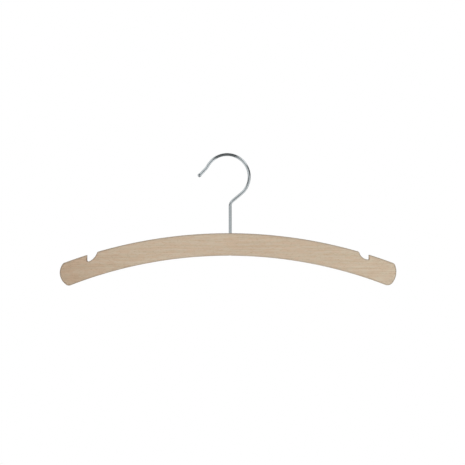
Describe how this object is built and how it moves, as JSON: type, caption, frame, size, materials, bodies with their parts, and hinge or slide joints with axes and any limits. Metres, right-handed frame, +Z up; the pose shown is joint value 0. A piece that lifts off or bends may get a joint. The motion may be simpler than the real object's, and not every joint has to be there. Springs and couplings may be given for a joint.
{
  "type": "clothes hanger",
  "caption": "Flat arched wooden clothes hanger with a strap notch near each end, hung on a bent wire hook that swivels in the board.",
  "frame": {"origin": "the point inside the crown of the hook where a rail bears", "axes": "+X along the board to the right, +Z up, -Y the front of the board"},
  "size_m": [0.4199, 0.012, 0.1653],
  "materials": {
    "wood": "pale fine-grained hardwood, sanded and finished satin",
    "bright_wire": "bright plated steel wire",
    "zinc": "zinc plated steel"
  },
  "bodies": {
    "hook": {"hook": "bright_wire", "nut": "zinc"},
    "board": {"board": "wood", "washer": "zinc"}
  },
  "joints": [
    {"name": "hook_swivel", "type": "hinge", "parent": "hook", "child": "board", "pos_m": [0.00374, 0, -0.09632], "axis": [0, 0, 1], "continuous": true}
  ]
}
